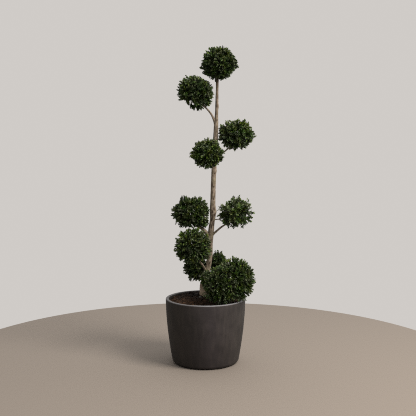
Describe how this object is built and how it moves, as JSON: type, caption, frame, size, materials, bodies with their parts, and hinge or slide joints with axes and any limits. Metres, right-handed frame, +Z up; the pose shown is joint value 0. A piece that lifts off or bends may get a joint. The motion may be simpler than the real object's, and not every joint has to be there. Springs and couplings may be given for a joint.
{
  "type": "potted evergreen multiball topiary",
  "caption": "Small-leaved evergreen on one bare leaning trunk in a round tapered pot, its short boughs carrying separate clipped foliage balls, with a larger double ball low at the front.",
  "frame": {"origin": "centre of the pot's flat underside, on the surface that it stands on", "axes": "+Z up the plant, -Y towards the picture's viewer, +X to the viewer's right"},
  "size_m": [0.5073, 0.46, 1.8112],
  "materials": {
    "pot": "matt charcoal fibre clay",
    "soil": "moist dark bark compost",
    "bark": "rough grey-brown bark",
    "foliage": "waxy dark green leaves"
  },
  "bodies": {
    "root": {"pot": "pot", "soil": "soil", "trunk": "bark", "bough_upper_left": "bark", "bough_upper_right": "bark", "bough_middle": "bark", "bough_lower_left": "bark", "bough_lower_right": "bark", "bough_low_left": "bark", "bough_back_left": "bark", "bough_back_right": "bark", "bough_front": "bark", "bough_lower_right_shoot": "bark", "foliage_top": "foliage", "foliage_upper_left": "foliage", "foliage_upper_right": "foliage", "foliage_middle": "foliage", "foliage_lower_left": "foliage", "foliage_lower_right": "foliage", "foliage_low_left": "foliage", "foliage_back_left": "foliage", "foliage_back_right": "foliage", "foliage_front": "foliage"}
  },
  "joints": []
}
